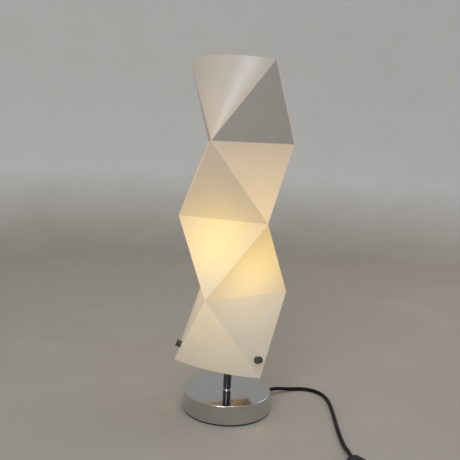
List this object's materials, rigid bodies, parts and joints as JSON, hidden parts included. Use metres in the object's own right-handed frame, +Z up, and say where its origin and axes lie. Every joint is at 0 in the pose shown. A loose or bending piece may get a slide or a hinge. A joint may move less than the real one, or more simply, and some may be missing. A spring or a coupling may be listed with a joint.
{
  "type": "table lamp",
  "caption": "Table lamp: chrome drum base, short stem, translucent folded-sheet tower shade, cord with in-line rocker switch and plug.",
  "frame": {"origin": "centre of the base's underside, on the table", "axes": "+Z up along the stem, -Y the front with the lower shade panel, +X to the viewer's right"},
  "size_m": [0.2356, 0.4024, 0.4904],
  "materials": {
    "chrome": "polished chrome plate",
    "dark_chrome": "polished dark chrome",
    "dark_sleeve": "gloss black, smooth",
    "zinc_steel": "bright zinc",
    "cast_ballast": "raw cast",
    "dark_pad": "matt foam rubber",
    "shade_sheet": "smooth satin translucent sheet, scored and folded",
    "white_holder": "moulded",
    "ceramic_insert": "matt",
    "brass": "rolled",
    "bulb_glass": "frosted, lit warm",
    "bulb_metal": "rolled",
    "bulb_dark": "moulded",
    "cord_black": "soft black sheath",
    "tie_black": "flat band",
    "switch_black": "fine grain"
  },
  "bodies": {
    "lamp": {"arm_back": "zinc_steel", "arm_left": "zinc_steel", "arm_right": "zinc_steel", "base_cover": "chrome", "base_nut": "zinc_steel", "base_pad": "dark_pad", "base_washer": "zinc_steel", "base_weight": "cast_ballast", "cap_nuts": "dark_chrome", "carrier_hub": "zinc_steel", "coil_tie": "tie_black", "cord_coil": "cord_black", "cord_relief": "cord_black", "cord_to_coil": "cord_black", "cord_to_plug": "cord_black", "cord_to_switch": "cord_black", "holder_cap": "white_holder", "holder_contact": "brass", "holder_insert": "ceramic_insert", "holder_lock_nut": "zinc_steel", "holder_skirt": "white_holder", "holder_thread_shell": "brass", "hub_nut": "zinc_steel", "inner_lead": "cord_black", "inner_nuts": "zinc_steel", "inner_washers": "zinc_steel", "outer_washers": "dark_chrome", "plug_body": "cord_black", "plug_pins": "zinc_steel", "plug_relief": "cord_black", "shade_sheet": "shade_sheet", "stem_collar": "chrome", "stem_sleeve": "dark_sleeve", "switch_contacts": "brass", "switch_lower_shell": "switch_black", "switch_screws": "zinc_steel", "switch_upper_shell": "switch_black", "terminal_screws": "zinc_steel", "threaded_tube": "zinc_steel"},
    "bulb": {"bulb_glass": "bulb_glass", "bulb_screw_cap": "bulb_metal", "bulb_insulator": "bulb_dark", "bulb_tip": "bulb_metal"},
    "rocker": {"switch_rocker": "switch_black"}
  },
  "joints": [
    {"name": "bulb_lift", "type": "slide", "parent": "lamp", "child": "bulb", "axis": [0, 0, 1], "range_m": [0, 0.37]},
    {"name": "rocker_tilt", "type": "hinge", "parent": "lamp", "child": "rocker", "pos_m": [0.1442, -0.197, 0.01325], "axis": [1, 0, 0], "range_deg": [-16, 0]}
  ]
}
